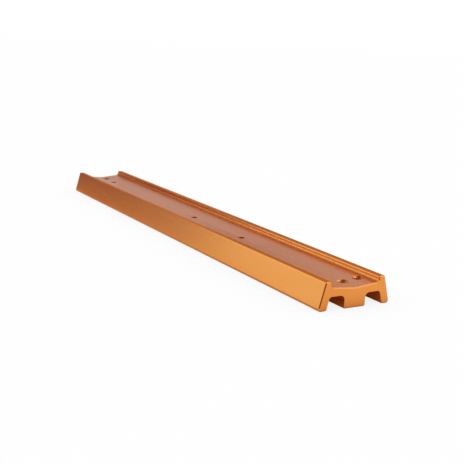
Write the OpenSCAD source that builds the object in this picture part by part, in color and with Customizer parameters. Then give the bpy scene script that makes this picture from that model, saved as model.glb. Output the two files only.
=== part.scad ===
// Dovetail mounting bar, one length of orange anodised aluminium extrusion.
// The section lies in X-Z and runs along Y. The feet stand on Z = 0, the bar is centred on the
// origin, and its front end faces -Y.

/* [Bar] */
// Length of the cut bar
bar_length = 584.2; // [430:0.1:1200]
// Width across the feet, between the sharp outer corners
base_width = 76.2; // [72:0.1:100]
// Height from the feet to the tops of the lips
bar_height = 25.4; // [20.5:0.1:32]
// Lean of the dovetail flanks from the vertical, in degrees
flank_angle = 15; // [8:0.5:18]
// Bevel broken along the edges of both sawn ends
end_bevel = 1; // [0.3:0.05:1.1]

/* [Cradle] */
// Depth of the cradle, from the tops of the lips to the floor's middle line
cradle_depth = 7.5; // [6.8:0.1:9]
// Slope of the floor's two halves, which rise from its middle line, in degrees
floor_slope = 5.5; // [3:0.5:7]
// Fillet along the floor's middle line
floor_fillet = 20; // [5:1:40]
// Width of each lip across its top, between the sharp corners
lip_width = 5.9; // [5:0.1:8]
// Lean of the lips' inner faces from the vertical, in degrees
lip_lean = 4; // [1:0.5:10]
// Fillet where a lip meets the floor
lip_fillet = 2.2; // [1.2:0.1:3]
// Rounding along the outer top edge of a lip
lip_round = 1.2; // [1.1:0.05:1.8]
// Rounding along the inner top edge of a lip
lip_inner_round = 2; // [1.1:0.1:2.6]

/* [Underside] */
// Width of the middle rib
rib_width = 22; // [16:0.1:28]
// Thickness of each leg, measured level
leg_wall = 8.4; // [6.5:0.1:10]
// Thickness of the web between the channel ceilings and the floor's middle line
web_thickness = 5.9; // [4.5:0.1:8]
// Fillet between a ceiling and the rib
rib_fillet = 4.5; // [1:0.1:6]
// Fillet between a ceiling and a leg
leg_fillet = 3; // [1:0.1:5]
// Rounding along the rib's lower edges
rib_round = 1.2; // [1.1:0.1:3]
// Rounding along the outer edge of each foot
foot_round = 2.4; // [1.2:0.1:3.4]
// Rounding along the inner edge of each foot
foot_inner_round = 1.6; // [1.2:0.1:2.4]

/* [Screw holes] */
// Clearance diameter of the countersunk screw holes
screw_hole_d = 5.5; // [3.5:0.1:6.5]
// Diameter of the countersinks where they open in the floor
countersink_d = 10.5; // [8:0.1:12]
// Distance of the front row of screw holes from the front end
front_row_inset = 20; // [12:0.5:40]
// Distance of each outer screw hole of the front row from the middle one
row_pitch = 17; // [15:0.1:18]
// Distance of the back screw hole from the back end
back_hole_inset = 16; // [10:0.5:25]

/* [Plain holes] */
// Diameter of the plain holes along the centre line
plain_hole_d = 5; // [3:0.1:6]
// Distance of the first plain hole from the front end
first_plain_inset = 193; // [100:1:220]
// Distance of the second plain hole from the first
plain_pitch = 106; // [60:1:120]
// Distance of the last plain hole from the back end
back_plain_inset = 46.5; // [38:0.5:70]

/* [Hidden] */
$fn = 96;
// How far a cutting shape reaches past the faces that it opens
overcut = 2;
// How far a rounding arc laps over the faces that it joins, so that they meet in one clean line
lap = 0.0005;

// Places that follow from the sizes above
half_length = bar_length / 2;
half_base = base_width / 2;
half_top = half_base - bar_height * tan(flank_angle);
half_rib = rib_width / 2;
floor_height = bar_height - cradle_depth;
channel_height = floor_height - web_thickness;
leg_inner = half_base - leg_wall;
ceiling_outer = leg_inner - channel_height * tan(flank_angle);
lip_inner = half_top - lip_width;
// Where the floor's two slopes would meet without their fillet
valley = floor_height - floor_fillet * (1 / cos(floor_slope) - 1);
// Where a slope and the lip's inner face would meet without their fillet
lip_base_x = (lip_inner - (bar_height - valley) * tan(lip_lean))
           / (1 - tan(floor_slope) * tan(lip_lean));
lip_base = [lip_base_x, valley + lip_base_x * tan(floor_slope)];

// Right half of the section, counterclockwise: sharp corner and the radius that rounds it
half_corners = [
    [[half_rib, 0], rib_round],
    [[half_rib, channel_height], rib_fillet],
    [[ceiling_outer, channel_height], leg_fillet],
    [[leg_inner, 0], foot_inner_round],
    [[half_base, 0], foot_round],
    [[half_top, bar_height], lip_round],
    [[lip_inner, bar_height], lip_inner_round],
    [lip_base, lip_fillet]
];
half_count = len(half_corners);
corners = concat(half_corners, [[[0, valley], floor_fillet]],
                 [for (i = [half_count - 1:-1:0]) mirrored(half_corners[i])]);
count = len(corners);
// The cradle's own corners: the right lip's foot, the floor's middle line and the left lip's foot
cradle_corners = [half_count - 1, half_count, half_count + 1];

// Places of the plain holes along the bar
first_plain = first_plain_inset - half_length;
plain_places = [first_plain, first_plain + plain_pitch, half_length - back_plain_inset];

function mirrored(entry) = [[-entry[0][0], entry[0][1]], entry[1]];
function unit(v) = v / norm(v);
function heading(v) = atan2(v[1], v[0]);
// A corner of the section, its radius, and the directions to the corners before and after it
function corner(i) = corners[i][0];
function radius(i) = corners[i][1];
function backward(i) = unit(corner((i + count - 1) % count) - corner(i));
function forward(i) = unit(corner((i + 1) % count) - corner(i));
function is_convex(i) = cross(forward(i), backward(i)) > 0;
// Half the angle that the rounding arc of a corner turns through
function arc_half(i) = 90 - acos(backward(i) * forward(i)) / 2;
// Height of the floor at a distance x from the centre line
function floor_at(x) =
    abs(x) < floor_fillet * sin(floor_slope)
        ? floor_height + floor_fillet - sqrt(floor_fillet ^ 2 - x ^ 2)
        : valley + abs(x) * tan(floor_slope);

// Moves its children from the origin to the middle of a corner's rounding arc, with +X turned
// towards the corner
module at_arc(i) {
    inward = unit(backward(i) + forward(i));
    translate(corner(i) + inward * (radius(i) - lap) / cos(arc_half(i)))
        rotate(heading(-inward)) children();
}

// Kite with a corner on the origin that holds an arc of radius reach, half degrees either side of +X
module arc_sector(reach, half) {
    polygon([[0, 0], reach * [cos(half), -sin(half)], [reach / cos(half), 0],
             reach * [cos(half), sin(half)]]);
}

// Slivers between the sharp corners and their arcs, of all corners that point out of the metal or
// of all that point into it
module corner_slivers(convex) {
    for (i = [0:count - 1])
        if (is_convex(i) == convex)
            at_arc(i) difference() {
                arc_sector(radius(i) + overcut / 2, arc_half(i));
                circle(radius(i));
            }
}

// Cross-section of the bar
module bar_section() {
    difference() {
        union() {
            polygon([for (c = corners) c[0]]);
            corner_slivers(convex = false);
        }
        corner_slivers(convex = true);
    }
}

// Half-space on the left of a line that runs through a point of the section at an angle to +X,
// leaning out by 45 degrees from where the bevel of the end at height end begins
module open_side(point, angle, end) {
    size = 4 * base_width;
    translate([point[0], point[1], end - end_bevel]) rotate(angle) rotate([45, 0, 0])
        translate([-size / 2, 0, -size / 2]) cube(size);
}

// A cone about the section's normal whose radius is r where the bevel begins
module flare(r, end) {
    low = r / 2;
    high = end_bevel + overcut;
    translate([0, 0, end - end_bevel - low]) cylinder(h = low + high, r1 = r - low, r2 = r + high);
}

// The cradle opened out by the bevel, from which the bevel of its end edges follows
module cradle_mouth(end) {
    difference() {
        intersection() {
            open_side([0, valley], floor_slope, end);
            open_side([0, valley], -floor_slope, end);
            open_side([lip_inner, bar_height], 90 - lip_lean, end);
            open_side([-lip_inner, bar_height], lip_lean - 90, end);
        }
        for (i = cradle_corners)
            at_arc(i) difference() {
                translate([0, 0, end - overcut]) linear_extrude(2 * overcut)
                    arc_sector(radius(i) + end_bevel + overcut, arc_half(i));
                flare(radius(i), end);
            }
    }
}

// Block whose lowest face is the bevel of an end edge along X, with the bar's side facing -Y there
module edge_cut(length) {
    width = 2 * (end_bevel + overcut);
    rotate([45, 0, 0]) translate([-length / 2, -width / 2, -end_bevel / sqrt(2)])
        cube([length, width, 2 * overcut]);
}

// Bevels of the feet and rib, the flanks and the lip tops at one end
module outer_bevels(end) {
    faces = [
        [[0, 0], 0],
        [[half_base, 0], 90 + flank_angle],
        [[0, bar_height], 180],
        [[-half_base, 0], 270 - flank_angle]
    ];
    for (f = faces)
        translate([f[0][0], f[0][1], end]) rotate(f[1]) edge_cut(2 * base_width);
}

// Countersunk screw hole, straight down through the floor at a place on it
module screw_hole(x, y) {
    top = floor_at(x);
    cone = (countersink_d - screw_hole_d) / 2;
    translate([x, y, -overcut]) cylinder(h = top + overcut, d = screw_hole_d);
    translate([x, y, top - cone])
        cylinder(h = cone + overcut, d1 = screw_hole_d, d2 = countersink_d + 2 * overcut);
}

// Plain hole through the rib
module plain_hole(y) {
    translate([0, y, -overcut]) cylinder(h = floor_height + 2 * overcut, d = plain_hole_d);
}

module dovetail_bar() {
    color("darkorange")
        difference() {
            rotate([90, 0, 0]) difference() {
                linear_extrude(bar_length, center = true) bar_section();
                for (turned = [0, 1]) mirror([0, 0, turned]) {
                    outer_bevels(half_length);
                    cradle_mouth(half_length);
                }
            }
            for (x = [-row_pitch, 0, row_pitch]) screw_hole(x, front_row_inset - half_length);
            screw_hole(0, half_length - back_hole_inset);
            for (y = plain_places) plain_hole(y);
        }
}

dovetail_bar();
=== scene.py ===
"""Orange anodised dovetail mounting bar: the fine surface of the bar, its finish, and the studio it is shot in."""

import logging
import math
from dataclasses import dataclass, field
from enum import Enum
from functools import reduce
from typing import Any, Iterable

import bpy
import numpy as np
from mathutils import Matrix

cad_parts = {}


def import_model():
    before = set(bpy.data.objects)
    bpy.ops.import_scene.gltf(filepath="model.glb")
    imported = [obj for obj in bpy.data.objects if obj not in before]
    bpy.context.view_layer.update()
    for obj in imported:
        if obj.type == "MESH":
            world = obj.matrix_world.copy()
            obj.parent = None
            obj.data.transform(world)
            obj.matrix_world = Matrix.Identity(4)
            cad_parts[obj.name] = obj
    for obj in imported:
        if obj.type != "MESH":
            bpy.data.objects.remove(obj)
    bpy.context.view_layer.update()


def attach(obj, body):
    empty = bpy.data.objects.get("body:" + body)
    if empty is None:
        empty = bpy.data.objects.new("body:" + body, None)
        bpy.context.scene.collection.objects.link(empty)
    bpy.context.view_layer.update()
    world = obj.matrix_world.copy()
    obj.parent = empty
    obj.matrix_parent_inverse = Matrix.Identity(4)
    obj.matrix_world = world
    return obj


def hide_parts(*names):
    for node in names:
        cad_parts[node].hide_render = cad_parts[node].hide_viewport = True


MM = 0.001
NODE = "dovetail_bar"
BODY = "root"
# Noise textures vary about this value
NOISE_MEAN = 0.5
# Colour inputs and output of a Mix node, which has a set of sockets for each type of data
MIX_FIRST, MIX_SECOND, MIX_RESULT = 6, 7, 2
# Almost straight up, so that a lamp right above the bar still has a level side
NEARLY_UP = (0.0, 0.001, 1.0)
WHITE = (1, 1, 1, 1)

Colour = tuple[float, float, float, float]
Span = tuple[float, float]

logging.basicConfig(level=logging.INFO, format="%(message)s")
log = logging.getLogger("bar")


class Val:
    """A number in a shader: arithmetic on it adds Math nodes to the shader's tree."""

    def __init__(self, tree: "ShaderTree", socket: bpy.types.NodeSocket) -> None:
        """Wraps an output socket of a node in the tree."""
        self.tree = tree
        self.socket = socket

    def _math(self, operation: str, *values: Any) -> "Val":
        """Adds one Math node.

        Args:
            operation: the Math node's operation.
            values: its inputs, in order, each a Val or a number.
        Returns:
            The node's result.
        """
        node = self.tree.node("ShaderNodeMath", {"operation": operation}, dict(enumerate(values)))
        return Val(self.tree, node.outputs[0])

    def __add__(self, other: Any) -> "Val":
        """Sum."""
        return self._math("ADD", self, other)

    __radd__ = __add__

    def __sub__(self, other: Any) -> "Val":
        """Difference."""
        return self._math("SUBTRACT", self, other)

    def __rsub__(self, other: Any) -> "Val":
        """Difference from a number on the left."""
        return self._math("SUBTRACT", other, self)

    def __mul__(self, other: Any) -> "Val":
        """Product."""
        return self._math("MULTIPLY", self, other)

    __rmul__ = __mul__

    def __pow__(self, other: float) -> "Val":
        """Power."""
        return self._math("POWER", self, other)

    def __abs__(self) -> "Val":
        """Size without the sign."""
        return self._math("ABSOLUTE", self)

    def sine(self) -> "Val":
        """Sine of a value in radians."""
        return self._math("SINE", self)

    def arcsine(self) -> "Val":
        """Angle in radians that has this sine."""
        return self._math("ARCSINE", self)

    def turn_from(self, other: "Val") -> "Val":
        """Angle in radians of the direction (other, self) from the other's axis."""
        return self._math("ARCTAN2", self, other)

    def larger(self, other: Any) -> "Val":
        """The larger of two values."""
        return self._math("MAXIMUM", self, other)

    def step(self, low: float, high: float) -> "Val":
        """Smooth step from 0 at low to 1 at high, which falls where low is the larger.

        Args:
            low: value at which the step is 0.
            high: value at which it is 1.
        Returns:
            The step, from 0 to 1.
        """
        node = self.tree.node("ShaderNodeMapRange", {"interpolation_type": "SMOOTHSTEP"},
                              {"Value": self, "From Min": low, "From Max": high})
        return Val(self.tree, node.outputs[0])


class ShaderTree:
    """The node tree of a material or a world, filled from an empty start."""

    def __init__(self, owner: Any) -> None:
        """Clears the owner's nodes.

        Args:
            owner: the material or world.
        """
        owner.use_nodes = True
        self.tree = owner.node_tree
        self.tree.nodes.clear()

    def node(self, kind: str, settings: dict[str, Any] | None = None,
             sockets: dict[Any, Any] | None = None) -> bpy.types.Node:
        """Adds a node.

        Args:
            kind: the node's type name.
            settings: attributes that are set first.
            sockets: values or links of its inputs, by name or number.
        Returns:
            The node.
        """
        made = self.tree.nodes.new(kind)
        for name, value in (settings or {}).items():
            setattr(made, name, value)
        for key, value in (sockets or {}).items():
            if isinstance(value, Val):
                value = value.socket
            if isinstance(value, bpy.types.NodeSocket):
                self.tree.links.new(value, made.inputs[key])
            else:
                made.inputs[key].default_value = value
        return made

    def value(self, kind: str, output: str, settings: dict[str, Any] | None = None,
              sockets: dict[Any, Any] | None = None) -> Val:
        """Adds a node and wraps one of its outputs.

        Args:
            kind: the node's type name.
            output: name of the output.
            settings: attributes that are set first.
            sockets: values or links of its inputs.
        Returns:
            The output as a number.
        """
        return Val(self, self.node(kind, settings, sockets).outputs[output])

    def blend(self, share: Val, first: Any, second: Any) -> bpy.types.NodeSocket:
        """Mixes two colours.

        Args:
            share: 0 for the first colour, 1 for the second.
            first: colour or link.
            second: colour or link.
        Returns:
            The mixed colour's socket.
        """
        made = self.node("ShaderNodeMix", {"data_type": "RGBA"},
                         {"Factor": share, MIX_FIRST: first, MIX_SECOND: second})
        return made.outputs[MIX_RESULT]


def solid_mesh(name: str, points: np.ndarray, quads: np.ndarray,
               caps: Iterable[np.ndarray]) -> bpy.types.Mesh:
    """Makes a mesh from arrays.

    Args:
        name: name of the mesh.
        points: vertices, in millimetres.
        quads: vertex numbers of the four-sided faces.
        caps: vertex numbers of each many-sided face.
    Returns:
        The mesh, in metres.
    """
    mesh = bpy.data.meshes.new(name)
    faces = quads.tolist() + [cap.tolist() for cap in caps]
    mesh.from_pydata((points * MM).tolist(), [], faces)
    mesh.validate()
    mesh.update()
    return mesh


def tube_quads(rings: int, around: int, start: int = 0) -> np.ndarray:
    """Faces of a tube whose rings follow each other in one list of points.

    Args:
        rings: number of rings.
        around: points in a ring.
        start: number of the first point.
    Returns:
        Vertex numbers, four to a face.
    """
    ring, place = np.meshgrid(np.arange(rings - 1), np.arange(around), indexing="ij")
    after = (place + 1) % around
    low, high = start + ring * around, start + (ring + 1) * around
    return np.stack([low + place, low + after, high + after, high + place], axis=-1).reshape(-1, 4)


@dataclass
class Outline:
    """The rounded section: points in X-Z, their outward normals, and how deep the end bevel is there."""

    points: np.ndarray
    normals: np.ndarray
    bevel: np.ndarray


class HoleKind(Enum):
    """How a hole opens in the floor. The value is the share of its rim's slope that is kept free of painted shade.
    """

    COUNTERSUNK = 0.45
    PLAIN = 0.0


@dataclass(frozen=True)
class Hole:
    """A drilled hole, straight down through the floor. Its broken rim rises by 1 in rim_run over the floor."""

    kind: HoleKind
    x: float
    y: float
    top: float
    bore: float
    rim: float
    rim_break: float
    exit_break: float
    bottom: float = 0.0
    around: int = 72
    reach: float = 3.0
    rim_run: float = 3.0

    def surface(self) -> np.ndarray:
        """Rings of the cutting surface: a profile of radius and height turned about the hole's axis.

        Returns:
            Points by ring and by place around it.
        """
        r, rim = self.bore / 2, self.rim / 2
        depth, rise = rim - r, self.rim_break / self.rim_run
        profile = np.array([
            [r + self.exit_break + self.reach, self.bottom - self.reach],
            [r, self.bottom + self.exit_break],
            [r, self.top - depth],
            [rim - self.rim_break, self.top - self.rim_break],
            [rim + self.rim_break, self.top + rise],
            [rim + self.rim_break + self.reach, self.top + rise + self.reach],
        ])
        turn = np.linspace(0, 2 * math.pi, self.around, endpoint=False)
        radius, height = profile[:, :1], np.repeat(profile[:, 1:], self.around, axis=1)
        return np.stack([self.x + radius * np.cos(turn), self.y + radius * np.sin(turn), height], axis=-1)


@dataclass
class DovetailBar:
    """The bar: one extruded section, bevelled at both sawn ends and drilled through its cradle's floor."""

    length: float = 584.2
    base_width: float = 76.2
    height: float = 25.4
    flank_angle: float = math.radians(15)
    end_bevel: float = 1.0
    channel_break: float = 0.3
    edge_softness: float = 0.16
    edge_share: float = 0.7
    cradle_depth: float = 7.5
    floor_slope: float = math.radians(5.5)
    floor_fillet: float = 20.0
    lip_width: float = 5.9
    lip_lean: float = math.radians(10)
    lip_fillet: float = 3.0
    lip_round: float = 1.2
    lip_inner_round: float = 1.6
    rib_width: float = 22.0
    leg_wall: float = 8.4
    web_thickness: float = 5.9
    rib_fillet: float = 4.5
    leg_fillet: float = 3.0
    rib_round: float = 1.2
    foot_round: float = 2.4
    foot_inner_round: float = 1.6
    screw_hole: float = 5.5
    countersink: float = 10.5
    front_row_inset: float = 20.0
    row_pitch: float = 17.0
    back_hole_inset: float = 16.0
    plain_hole: float = 5.0
    first_plain_inset: float = 193.0
    plain_pitch: float = 106.0
    back_plain_inset: float = 46.5
    arc_steps: int = 12
    edge_steps: int = 4
    stations: int = 24
    normal_weight: int = 50
    sharp_angle: float = math.radians(28)
    rim_break: float = 0.15
    plain_break: float = 0.7
    exit_break: float = 0.3

    @property
    def floor_height(self) -> float:
        """Height of the floor's middle line."""
        return self.height - self.cradle_depth

    @property
    def valley(self) -> float:
        """Height at which the floor's slopes would meet without their fillet."""
        return self.floor_height - self.floor_fillet * (1 / math.cos(self.floor_slope) - 1)

    @property
    def lip_foot(self) -> float:
        """Distance from the centre line to where the floor and a lip would meet without their fillet."""
        lip = self.base_width / 2 - self.height * math.tan(self.flank_angle) - self.lip_width
        lean, slope = math.tan(self.lip_lean), math.tan(self.floor_slope)
        return (lip - (self.height - self.valley) * lean) / (1 - slope * lean)

    @property
    def lip_foot_height(self) -> float:
        """Height at which the floor and a lip would meet without their fillet."""
        return self.valley + self.lip_foot * math.tan(self.floor_slope)

    def floor_at(self, x: float) -> float:
        """Height of the floor at a distance from the centre line: the fillet's arc, then the slope."""
        if abs(x) < self.floor_fillet * math.sin(self.floor_slope):
            return self.floor_height + self.floor_fillet - math.sqrt(self.floor_fillet ** 2 - x ** 2)
        return self.valley + abs(x) * math.tan(self.floor_slope)

    def corners(self) -> np.ndarray:
        """Sharp corners of the section, counterclockwise from the rib's right lower edge.

        Returns:
            One row a corner: X, Z, rounding radius, and the bevel of the side that follows it.
        """
        full, small = self.end_bevel, self.channel_break
        half_base, half_rib = self.base_width / 2, self.rib_width / 2
        half_top = half_base - self.height * math.tan(self.flank_angle)
        ceiling = self.floor_height - self.web_thickness
        leg = half_base - self.leg_wall
        lip = half_top - self.lip_width
        right = np.array([
            [half_rib, 0, self.rib_round, small],
            [half_rib, ceiling, self.rib_fillet, small],
            [leg - ceiling * math.tan(self.flank_angle), ceiling, self.leg_fillet, small],
            [leg, 0, self.foot_inner_round, full],
            [half_base, 0, self.foot_round, full],
            [half_top, self.height, self.lip_round, full],
            [lip, self.height, self.lip_inner_round, full],
            [self.lip_foot, self.lip_foot_height, self.lip_fillet, full],
        ])
        left = right[::-1] * [-1, 1, 1, 1]
        left[:, 3] = np.append(right[-2::-1, 3], full)
        middle = np.array([[0, self.valley, self.floor_fillet, full]])
        return np.vstack([right, middle, left])

    def outline(self) -> Outline:
        """Rounds every corner: the normal turns evenly from one side's to the next's, and a point lies
        one radius from the arc's centre along it.

        Returns:
            The section's points, normals and bevels.
        """
        table = self.corners()
        corner, radius, after = table[:, :2], table[:, 2], table[:, 3]
        before = np.roll(after, 1)
        ahead = np.roll(corner, -1, axis=0) - corner
        ahead /= np.linalg.norm(ahead, axis=1, keepdims=True)
        come = np.roll(ahead, 1, axis=0)
        cross = come[:, 0] * ahead[:, 1] - come[:, 1] * ahead[:, 0]
        turn = np.arctan2(cross, (come * ahead).sum(axis=1))
        bisector = ahead - come
        bisector /= np.linalg.norm(bisector, axis=1, keepdims=True)
        centre = corner + bisector * (radius / np.cos(turn / 2))[:, None]
        share = np.linspace(0, 1, self.arc_steps + 1)
        heading = np.arctan2(-come[:, 0], come[:, 1])[:, None] + turn[:, None] * share
        normals = np.stack([np.cos(heading), np.sin(heading)], axis=-1)
        reach = (np.sign(turn) * radius)[:, None, None]
        points = centre[:, None, :] + reach * normals
        bevel = before[:, None] + (after - before)[:, None] * (share * share * (3 - 2 * share))
        return Outline(points.reshape(-1, 2), normals.reshape(-1, 2), bevel.ravel())

    def bevel_path(self) -> np.ndarray:
        """The end bevel seen along an edge: a 45 degree line with a quadratic curve at each end.

        Returns:
            Rows of inset from the side and depth from the end, as shares of the bevel.
        """
        soft, inner = self.edge_softness, self.edge_softness * self.edge_share
        share = np.linspace(0, 1, self.edge_steps)[:, None]
        near = np.array([[1 + soft, 0], [1, 0], [1 - inner, inner]])
        far = near[::-1, ::-1]
        curves = [(1 - share) ** 2 * c[0] + 2 * share * (1 - share) * c[1] + share ** 2 * c[2]
                  for c in (near, far)]
        return np.vstack(curves)

    def body_mesh(self) -> bpy.types.Mesh:
        """Carries the section along the bar: each ring is the section moved in along its normals.

        Returns:
            The closed surface, before it is drilled.
        """
        section, path, half = self.outline(), self.bevel_path(), self.length / 2
        run = half - self.end_bevel * (1 + self.edge_softness)
        middle = np.linspace(-run, run, self.stations + 1)[1:-1]
        straight, ends = np.zeros(middle.size), len(path)
        inset = np.concatenate([path[:, 0], straight, path[::-1, 0]])
        rings = inset.size
        depth = section.bevel * np.concatenate([path[:, 1], straight, path[::-1, 1]])[:, None]
        side = np.concatenate([np.full(ends, -1.0), straight, np.ones(ends)])
        y = side[:, None] * (half - depth)
        y[ends:-ends] = middle[:, None]
        moved = (inset[:, None] * section.bevel)[..., None]
        flat = section.points[None] - section.normals[None] * moved
        points = np.stack([flat[..., 0], y, flat[..., 1]], axis=-1).reshape(-1, 3)
        around = len(section.points)
        last = (rings - 1) * around
        caps = [np.arange(around), last + np.arange(around)[::-1]]
        return solid_mesh("bar_body", points, tube_quads(rings, around)[:, ::-1], caps)

    def holes(self) -> list[Hole]:
        """The screw holes, three in the front row and one at the back, and the plain holes.

        Returns:
            The holes of the centre line with countersinks, then those beside them, then the plain ones.
        """
        half, ceiling = self.length / 2, self.floor_height - self.web_thickness
        front, back = self.front_row_inset - half, half - self.back_hole_inset
        first = self.first_plain_inset - half
        pitch = self.row_pitch
        plain_rim = self.plain_hole + 2 * self.plain_break
        made = [Hole(HoleKind.COUNTERSUNK, 0, y, self.floor_height, self.screw_hole, self.countersink,
                     self.rim_break, self.exit_break) for y in (front, back)]
        made += [Hole(HoleKind.COUNTERSUNK, x, front, self.floor_at(x), self.screw_hole, self.countersink,
                      0.0, self.exit_break, ceiling) for x in (-pitch, pitch)]
        made += [Hole(HoleKind.PLAIN, 0, y, self.floor_height, self.plain_hole, plain_rim,
                      self.rim_break, self.exit_break)
                 for y in (first, first + self.plain_pitch, half - self.back_plain_inset)]
        return made

    def drill_mesh(self) -> bpy.types.Mesh:
        """Turns the cutting surfaces of all holes.

        Returns:
            The mesh of the closed surfaces.
        """
        surfaces = np.stack([hole.surface() for hole in self.holes()])
        count, rings, around, _ = surfaces.shape
        starts = np.arange(count) * rings * around
        quads = np.concatenate([tube_quads(rings, around, s) for s in starts])
        ring = np.arange(around)
        caps = [s + ring[::-1] for s in starts] + [s + (rings - 1) * around + ring for s in starts]
        return solid_mesh("hole_drills", surfaces.reshape(-1, 3), quads, caps)

    def build(self) -> bpy.types.Object:
        """Drills the swept body, and gives it normals that keep the flats flat and the roundings smooth.

        Returns:
            The finished bar, at the origin.
        """
        bar = bpy.data.objects.new("anodised_bar", self.body_mesh())
        drills = bpy.data.objects.new("hole_drills", self.drill_mesh())
        for item in (bar, drills):
            bpy.context.scene.collection.objects.link(item)
        cut = bar.modifiers.new("drill", "BOOLEAN")
        cut.operation, cut.solver, cut.object = "DIFFERENCE", "EXACT", drills
        bar.data = self.applied(bar)
        bpy.data.objects.remove(drills)
        bar.data.shade_smooth()
        bar.data.set_sharp_from_angle(angle=self.sharp_angle)
        weigh = bar.modifiers.new("flat normals", "WEIGHTED_NORMAL")
        weigh.mode, weigh.weight, weigh.keep_sharp = "FACE_AREA", self.normal_weight, True
        bar.data = self.applied(bar)
        bar.data.name = bar.name
        return bar

    @staticmethod
    def applied(item: bpy.types.Object) -> bpy.types.Mesh:
        """Applies an object's modifiers and removes them.

        Args:
            item: the object.
        Returns:
            The mesh that they make.
        """
        seen = item.evaluated_get(bpy.context.evaluated_depsgraph_get())
        mesh = bpy.data.meshes.new_from_object(seen)
        item.modifiers.clear()
        return mesh

    def dress(self, bar: bpy.types.Object, finish: "AnodisedFinish") -> None:
        """Gives the bar its finish and its place in the frame.

        Args:
            bar: the finished bar.
            finish: its surface.
        """
        bar.data.materials.clear()
        bar.data.materials.append(finish.material(self))
        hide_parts(NODE)
        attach(bar, BODY)


@dataclass(frozen=True)
class Mottle:
    """Smooth noise on the bar: features in a millimetre across and along it, and the number of finer layers."""

    across: float
    along: float
    detail: float

    def build(self, shade: ShaderTree, x: Val, y: Val, z: Val) -> Val:
        """Adds the noise.

        Args:
            shade: the material's tree.
            x: place across.
            y: place along.
            z: height.
        Returns:
            Noise about its mean.
        """
        places = {0: x * self.across, 1: y * self.along, 2: z * self.across}
        joined = shade.node("ShaderNodeCombineXYZ", sockets=places).outputs[0]
        return shade.value("ShaderNodeTexNoise", "Fac",
                           sockets={"Vector": joined, "Scale": 1.0, "Detail": self.detail})


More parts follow.
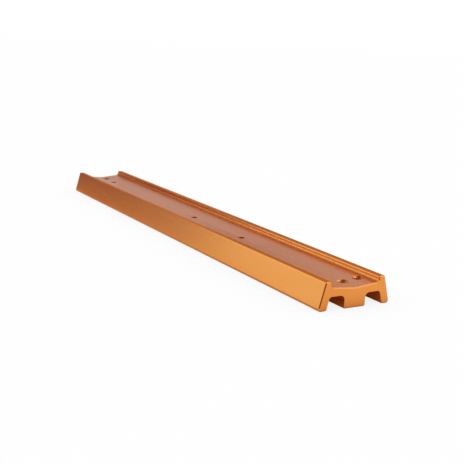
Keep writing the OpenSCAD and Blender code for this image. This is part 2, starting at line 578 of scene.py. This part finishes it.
@dataclass(frozen=True)
class AnodisedFinish:
    """Dyed anodised aluminium: a coloured metal under a thin clear oxide, with drawn lines, a fine etch, and
    painted shade in its holes.

    A fade is a pair of margins, in millimetres, between which a mask goes from 0 to 1.
    """

    name: str = "orange_anodised_aluminium"
    light_dye: Colour = (0.82, 0.305, 0.062, 1)
    deep_dye: Colour = (0.79, 0.285, 0.055, 1)
    # Painted shade: a dark red laid on the bores and on the lower part of their rims' slopes
    bore_painted_shade_colour: Colour = (0.22, 0.02, 0.002, 1)
    worn_dye: Colour = (0.86, 0.42, 0.16, 1)
    wear: float = 0.35
    edge_tint: Colour = (1.0, 0.55, 0.35, 1)
    floor_coat: float = 1.0
    plain_coat: float = 0.12
    coat_roughness: float = 0.3
    coat_ior: float = 1.95
    side_roughness: float = 0.27
    floor_roughness: float = 0.5
    end_roughness: float = 0.36
    bevel_roughness: float = 0.14
    bore_roughness: float = 0.7
    bore_gloss: float = 0.05
    streaks: Mottle = Mottle(2.2, 0.012, 3)
    grain: Mottle = Mottle(3.5, 3.5, 2)
    cloud: Mottle = Mottle(0.05, 0.012, 2)
    cloud_share: float = 0.7
    streak_share: float = 0.3
    dye_range: Span = (0.3, 0.7)
    wear_range: Span = (0.5, 0.75)
    streak_roughness: float = 0.015
    grain_roughness: float = 0.05
    streak_relief: float = 0.02
    grain_relief: float = 0.5
    saw_relief: float = 0.4
    relief_strength: float = 0.25
    relief_depth: float = 0.00002
    blade_offset: Span = (55.0, 120.0)
    blade_waves: float = 5.0
    end_fade: Span = (0.07, 0.02)
    bevel_fade: Span = (0.1, -0.05)
    floor_fade: Span = (0.7, 0.3)
    cradle_fade: Span = (4.4, 3.4)
    fillet_fade: float = 1.0
    lip_fade: Span = (4.0, 3.0)
    milky_fade: Span = (1.0, 4.0)
    slope_fade: Span = (0.8, 0.3)
    shaft_fade: Span = (0.12, 0.02)
    rim_fade: float = 0.1
    # Where the painted bore shade begins inside a rim, and the share of the slope over which it fades in
    dark_margin: float = 0.05
    dark_share: float = 0.3

    def material(self, bar: DovetailBar) -> bpy.types.Material:
        """Builds the finish.

        Args:
            bar: the bar whose sizes place the matt floor and the sawn ends.
        Returns:
            The material.
        """
        made = bpy.data.materials.new(self.name)
        shade = ShaderTree(made)
        place = shade.node("ShaderNodeTexCoord").outputs["Object"]
        split = shade.node("ShaderNodeSeparateXYZ", sockets={0: place})
        x, y, z = (Val(shade, split.outputs[axis]) * (1 / MM) for axis in "XYZ")
        half, bevel = bar.length / 2, bar.end_bevel
        ends = abs(y).step(*(half - fade for fade in self.end_fade))
        bevels = abs(y).step(*(half - bevel - fade for fade in self.bevel_fade)) * (1 - ends)
        mouths, painted_bore_shade = self.bores(bar, x, y, z)
        cradle = (z.step(*(bar.floor_height - fade for fade in self.floor_fade))
                  * z.step(*(bar.floor_height + fade for fade in self.cradle_fade))
                  * (1 - ends) * (1 - bevels) * (1 - mouths))
        fillet_top = bar.lip_foot_height + bar.lip_fillet
        inside = abs(x).step(*(bar.lip_foot + fade for fade in self.lip_fade))
        matt = z.step(fillet_top, fillet_top - self.fillet_fade) * inside * cradle
        milky = abs(x).step(*(bar.lip_foot - fade for fade in self.milky_fade)) * cradle

        streaks, grain, cloud = (mottle.build(shade, x, y, z) for mottle in (self.streaks, self.grain, self.cloud))
        saw = self.saw_marks(x, z)

        depth = (cloud * self.cloud_share + streaks * self.streak_share).step(*self.dye_range)
        dye_and_bore_shade = shade.blend(depth, self.deep_dye, self.light_dye)
        dye_and_bore_shade = shade.blend(bevels * grain.step(*self.wear_range) * self.wear, dye_and_bore_shade, self.worn_dye)
        # Painted shade: the bores and the lower rim slopes take the dark bore colour and lose their metal
        dye_and_bore_shade = shade.blend(painted_bore_shade, dye_and_bore_shade, self.bore_painted_shade_colour)
        rough = (self.side_roughness + matt * (self.floor_roughness - self.side_roughness)
                 + ends * (self.end_roughness - self.side_roughness)
                 + bevels * (self.bevel_roughness - self.side_roughness)
                 + painted_bore_shade * (self.bore_roughness - self.side_roughness)
                 + (streaks - NOISE_MEAN) * self.streak_roughness + (grain - NOISE_MEAN) * self.grain_roughness)
        coat = self.plain_coat * (1 - painted_bore_shade) + milky * (self.floor_coat - self.plain_coat)
        relief = ((1 - ends) * streaks * self.streak_relief + milky * grain * self.grain_relief
                  + ends * saw * self.saw_relief)
        bump = shade.node("ShaderNodeBump", sockets={
            "Height": relief, "Strength": self.relief_strength, "Distance": self.relief_depth})
        surface = shade.node("ShaderNodeBsdfPrincipled", sockets={
            "Base Color": dye_and_bore_shade, "Metallic": 1 - painted_bore_shade, "Roughness": rough, "Coat Weight": coat,
            "Specular IOR Level": self.bore_gloss, "Specular Tint": self.edge_tint,
            "Coat Roughness": self.coat_roughness, "Coat IOR": self.coat_ior, "Normal": bump.outputs[0]})
        shade.node("ShaderNodeOutputMaterial", sockets={"Surface": surface.outputs[0]})
        return made

    def bores(self, bar: DovetailBar, x: Val, y: Val, z: Val) -> tuple[Val, Val]:
        """Masks of the holes.

        Args:
            bar: the bar whose holes they are.
            x: place across.
            y: place along.
            z: height.
        Returns:
            1 on all that lies inside a hole's rim, and 1 on its painted shade, which is the bore and the lower end
            of its rim's slope.
        """
        mouths, painted_bore_shade = [], []
        for hole in bar.holes():
            reach = ((x - hole.x) ** 2 + (y - hole.y) ** 2) ** 0.5
            rim, bore = hole.rim / 2 + hole.rim_break, hole.bore / 2
            slope = rim - bore
            upper = z.step(*(hole.top - slope - fade for fade in self.slope_fade))
            shaft = reach.step(*(bore + fade for fade in self.shaft_fade))
            # Painted shade: dark from this radius inwards on the rim's slope, and all down the bore
            dark = rim - hole.kind.value * slope
            shade = reach.step(dark + self.dark_margin, dark - self.dark_share * slope)
            mouths.append((reach.step(rim + self.rim_fade, rim) * upper).larger(shaft))
            painted_bore_shade.append((shade * upper).larger(shaft))
        return reduce(Val.larger, mouths), reduce(Val.larger, painted_bore_shade)

    def saw_marks(self, x: Val, z: Val) -> Val:
        """Arcs that a circular saw leaves: a wave of the distance from the blade's centre, below the bar."""
        reach = ((x + self.blade_offset[0]) ** 2 + (z + self.blade_offset[1]) ** 2) ** 0.5
        return (reach * self.blade_waves).sine() * NOISE_MEAN + NOISE_MEAN


@dataclass(frozen=True)
class Card:
    """A studio card of one tone, a patch of a sphere about the bar, whose edge is the share that fades."""

    name: str
    azimuth: Span
    elevation: Span
    tone: tuple[float, float, float]
    distance: float
    edge: float
    columns: int = 32
    rows: int = 16

    def build(self) -> bpy.types.Object:
        """Makes the card: a grid of azimuth, from +Y towards +X, and elevation, at one distance.

        Returns:
            The card, which only mirrored rays see.
        """
        u, v = np.meshgrid(np.linspace(0, 1, self.columns + 1), np.linspace(0, 1, self.rows + 1), indexing="ij")
        turn = np.radians(self.azimuth[0] + u * (self.azimuth[1] - self.azimuth[0]))
        lift = np.radians(self.elevation[0] + v * (self.elevation[1] - self.elevation[0]))
        points = np.stack([np.sin(turn) * np.cos(lift), np.cos(turn) * np.cos(lift), np.sin(lift)], axis=-1)
        column, row = np.meshgrid(np.arange(self.columns), np.arange(self.rows), indexing="ij")
        first = column * (self.rows + 1) + row
        beside = first + self.rows + 1
        quads = np.stack([first, beside, beside + 1, first + 1], axis=-1).reshape(-1, 4)
        mesh = solid_mesh(self.name, points.reshape(-1, 3) * self.distance / MM, quads, [])
        mesh.materials.append(self.material())
        card = bpy.data.objects.new(self.name, mesh)
        bpy.context.scene.collection.objects.link(card)
        card.visible_camera = card.visible_diffuse = card.visible_shadow = False
        return card

    def between(self, angle: Val, limits: Span) -> Val:
        """Mask of a range of angles, which fades out at both of its limits.

        Args:
            angle: the angle, in radians.
            limits: the range's limits, in degrees.
        Returns:
            1 inside the limits, and 0 at them.
        """
        low, high = (math.radians(limit) for limit in limits)
        fade = self.edge * (high - low)
        return angle.step(low, low + fade) * angle.step(high, high - fade)

    def material(self) -> bpy.types.Material:
        """A plain tone that fades out at the card's edges.

        Returns:
            The material.
        """
        made = bpy.data.materials.new(self.name)
        made.cycles.emission_sampling = "NONE"
        shade = ShaderTree(made)
        place = shade.node("ShaderNodeTexCoord").outputs["Object"]
        split = shade.node("ShaderNodeSeparateXYZ", sockets={0: place})
        x, y, z = (Val(shade, split.outputs[axis]) for axis in "XYZ")
        there = 1.0
        if self.edge:
            lift = (z * (1 / self.distance)).arcsine()
            there = self.between(x.turn_from(y), self.azimuth) * self.between(lift, self.elevation)
        clear = shade.node("ShaderNodeBsdfTransparent").outputs[0]
        tone = shade.node("ShaderNodeEmission", sockets={0: (*self.tone, 1)}).outputs[0]
        both = shade.node("ShaderNodeMixShader", sockets={0: there, 1: clear, 2: tone}).outputs[0]
        shade.node("ShaderNodeOutputMaterial", sockets={"Surface": both})
        return made


@dataclass(frozen=True)
class Lamp:
    """A square soft lamp, aimed at the bar."""

    name: str
    place: tuple[float, float, float]
    size: float
    radiance: float

    def build(self) -> bpy.types.Object:
        """Makes the lamp, whose power gives its face the wanted radiance.

        Returns:
            The lamp, which the camera doesn't see.
        """
        data = bpy.data.lights.new(self.name, "AREA")
        data.shape, data.size = "SQUARE", self.size
        data.energy = self.radiance * math.pi * self.size ** 2
        lamp = bpy.data.objects.new(self.name, data)
        bpy.context.scene.collection.objects.link(lamp)
        back = np.array(self.place) / np.linalg.norm(self.place)
        side = np.cross(NEARLY_UP, back)
        side /= np.linalg.norm(side)
        lamp.matrix_world = frame_matrix(side, np.cross(back, side), back, np.array(self.place))
        lamp.visible_camera = False
        return lamp


def frame_matrix(x: np.ndarray, y: np.ndarray, z: np.ndarray, place: np.ndarray) -> Matrix:
    """Matrix of an object from its three axes and its place."""
    return Matrix(np.vstack([np.column_stack([x, y, z, place]), [0, 0, 0, 1]]).tolist())


@dataclass
class Studio:
    """White studio: a pale floor, a white surround, soft lamps and cards."""

    plain_level: float = 0.6
    floor_tone: float = 0.9
    floor_size: float = 30.0
    floor_gap: float = 0.05
    white_share: float = 0.985
    shadow_reach: float = 0.06
    shadow_lift: float = 0.85
    shade_level: float = 0.1
    shade_tint: Colour = (1.0, 0.4, 0.25, 1)
    shade_samples: int = 16
    cards: list[Card] = field(default_factory=lambda: [
        Card("left_softbox", (-84, -8), (-2, 48), (1.0, 1.25, 1.5), 2.2, 0.06),
        Card("rim_softbox", (-48, -2), (9, 27), (2.3, 2.5, 2.8), 2.0, 0.1),
        Card("left_shade", (-84, -2), (27, 58), (0.95, 0.72, 0.46), 1.9, 0.08),
        Card("low_card", (-41, 10), (-2, 9), (0.3, 0.225, 0.58), 0.75, 0.1),
        Card("upper_card", (-33, 10), (6, 46), (0.3, 0.22, 0.45), 0.77, 0.08),
        Card("back_card", (28, 82), (-2, 22), (0.26, 0.29, 0.33), 0.85, 0.15),
        Card("far_card", (-6, 50), (-2, 22), (0.62, 0.61, 0.62), 0.88, 0.08),
        Card("high_card", (-6, 82), (20, 58), (0.62, 0.58, 0.6), 0.9, 0.1),
        Card("front_card", (-157, -126), (-2, 18), (0.24, 0.12, 0.07), 0.9, 0.12),
        Card("ceiling_card", (-190, 66), (52, 90), (0.13, 0.045, 0.025), 1.6, 0.0),
    ])
    lamps: list[Lamp] = field(default_factory=lambda: [
        Lamp("left_lamp", (-1.6, 1.5, 1.6), 1.6, 0.1),
        Lamp("right_lamp", (1.3, -0.6, 2.0), 1.4, 0.25),
    ])

    def build(self) -> None:
        """Makes the surround, the floor, the cards and the lamps."""
        self.surround()
        self.floor()
        for item in [*self.cards, *self.lamps]:
            item.build()
            log.info("studio: %s", item.name)

    def surround(self) -> None:
        """A white world to the camera and in mirrored rays, and a plain level of light to all others."""
        world = bpy.data.worlds.new("white_surround")
        bpy.context.scene.world = world
        shade = ShaderTree(world)
        world.cycles.sampling_method = "NONE"
        level = self.plain_level + self.looked_at(shade) * (1 - self.plain_level)
        light = shade.node("ShaderNodeBackground", sockets={"Color": WHITE, "Strength": level})
        shade.node("ShaderNodeOutputWorld", sockets={0: light.outputs[0]})

    @staticmethod
    def looked_at(shade: ShaderTree) -> Val:
        """Tells the rays that show a surface from those that only light others.

        Args:
            shade: the tree of the surface or world.
        Returns:
            1 for a ray from the camera, a mirrored ray or one through glass, and 0 for others.
        """
        path = shade.node("ShaderNodeLightPath")
        camera, glossy, through = (Val(shade, path.outputs[f"Is {kind} Ray"])
                                   for kind in ("Camera", "Glossy", "Transmission"))
        return camera.larger(glossy).larger(through)

    def floor(self) -> None:
        """A wide pale floor at the feet: white where it is looked at, shaded where the bar covers it, and
        clear when it is seen from below."""
        s = self.floor_size / 2 / MM
        points = np.array([[-s, -s, 0], [s, -s, 0], [s, s, 0], [-s, s, 0]]) - [0, 0, self.floor_gap]
        mesh = solid_mesh("studio_floor", points, np.array([[0, 1, 2, 3]]), [])
        made = bpy.data.materials.new("pale_floor")
        made.cycles.emission_sampling = "NONE"
        shade = ShaderTree(made)
        below = shade.node("ShaderNodeNewGeometry").outputs["Backfacing"]
        pale = shade.node("ShaderNodeBsdfDiffuse", sockets={0: (self.floor_tone,) * 3 + (1,)}).outputs[0]
        camera = Val(shade, shade.node("ShaderNodeLightPath").outputs["Is Camera Ray"])
        open_sky = shade.value("ShaderNodeAmbientOcclusion", "AO", {"samples": self.shade_samples},
                               {"Distance": self.shadow_reach})
        lift = camera * self.shadow_lift
        tint = shade.blend((1 - open_sky) * (1 - camera), WHITE, self.shade_tint)
        level = (open_sky * (1 - self.shade_level) + self.shade_level) * (1 - lift) + lift
        white = shade.node("ShaderNodeEmission", sockets={0: tint, 1: level}).outputs[0]
        seen = self.looked_at(shade) * self.white_share
        top = shade.node("ShaderNodeMixShader", sockets={0: seen, 1: pale, 2: white}).outputs[0]
        clear = shade.node("ShaderNodeBsdfTransparent").outputs[0]
        both = shade.node("ShaderNodeMixShader", sockets={0: below, 1: top, 2: clear}).outputs[0]
        shade.node("ShaderNodeOutputMaterial", sockets={0: both})
        mesh.materials.append(made)
        floor = bpy.data.objects.new("studio_floor", mesh)
        bpy.context.scene.collection.objects.link(floor)


@dataclass(frozen=True)
class StudioCamera:
    """The camera: azimuth, elevation and roll of its view, and the offset that frames the bar."""

    target: tuple[float, float, float] = (0.0, 0.0, 12.7)
    azimuth: float = -0.5303
    elevation: float = 0.2227
    roll: float = 0.0466
    offset: Span = (40.2485, -10.6521)
    distance: float = 996.0255
    focal_pixels: float = 880.998
    frame_pixels: float = 465.0
    sensor: float = 36.0
    clip: Span = (0.01, 100.0)

    def build(self) -> bpy.types.Object:
        """Makes the scene's camera.

        Returns:
            The camera.
        """
        az, el = self.azimuth, self.elevation
        back = np.array([math.sin(az) * math.cos(el), -math.cos(az) * math.cos(el), math.sin(el)])
        level = np.array([math.cos(az), math.sin(az), 0.0])
        up = np.cross(back, level)
        x = math.cos(self.roll) * level + math.sin(self.roll) * up
        y = math.cos(self.roll) * up - math.sin(self.roll) * level
        place = np.array(self.target) + back * self.distance + x * self.offset[0] + y * self.offset[1]
        data = bpy.data.cameras.new("studio_camera")
        data.sensor_width = self.sensor
        data.lens = self.focal_pixels * self.sensor / self.frame_pixels
        data.clip_start, data.clip_end = self.clip
        camera = bpy.data.objects.new("studio_camera", data)
        bpy.context.scene.collection.objects.link(camera)
        camera.matrix_world = frame_matrix(x, y, back, place * MM)
        bpy.context.scene.camera = camera
        return camera


def main() -> None:
    """Builds the bar, its finish, the studio and the camera, and logs the bar's face count."""
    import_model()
    bpy.context.scene.view_settings.view_transform = "Standard"
    maker = DovetailBar()
    bar = maker.build()
    maker.dress(bar, AnodisedFinish())
    log.info("piece: %s, %d faces", bar.name, len(bar.data.polygons))
    Studio().build()
    StudioCamera().build()


if __name__ == "__main__":
    main()
